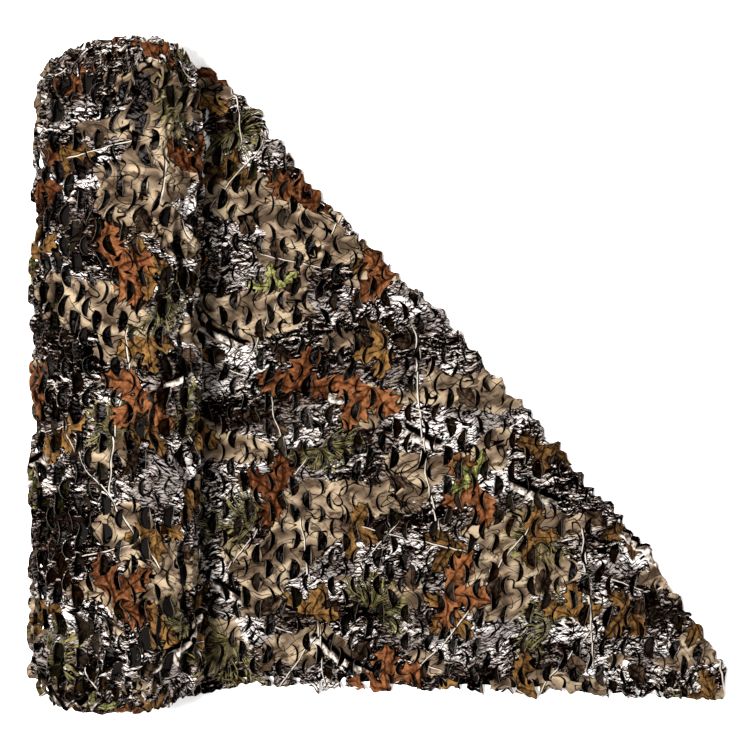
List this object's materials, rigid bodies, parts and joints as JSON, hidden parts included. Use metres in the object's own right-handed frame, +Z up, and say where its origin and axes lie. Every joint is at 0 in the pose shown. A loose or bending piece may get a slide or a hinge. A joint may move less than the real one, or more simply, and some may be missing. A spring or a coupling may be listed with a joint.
{
  "type": "camouflage net roll",
  "caption": "Bulk roll of leaf-cut camouflage net lying on its side, with its loose end drawn out flat and turned under along a slant.",
  "frame": {"origin": "middle of the flat spot under the roll, where it rests on the ground", "axes": "+X from the roll to the tip of the loose end, +Y along the roll's axis, +Z up"},
  "size_m": [1.7083, 1.6282, 0.3777],
  "materials": {
    "net_wound": "printed woven polyester, matt, cut into leaf-like tongues",
    "net_loose": "printed woven polyester, matt, cut into leaf-like tongues"
  },
  "bodies": {
    "root": {"net_roll": "net_wound", "loose_end": "net_loose"}
  },
  "joints": []
}
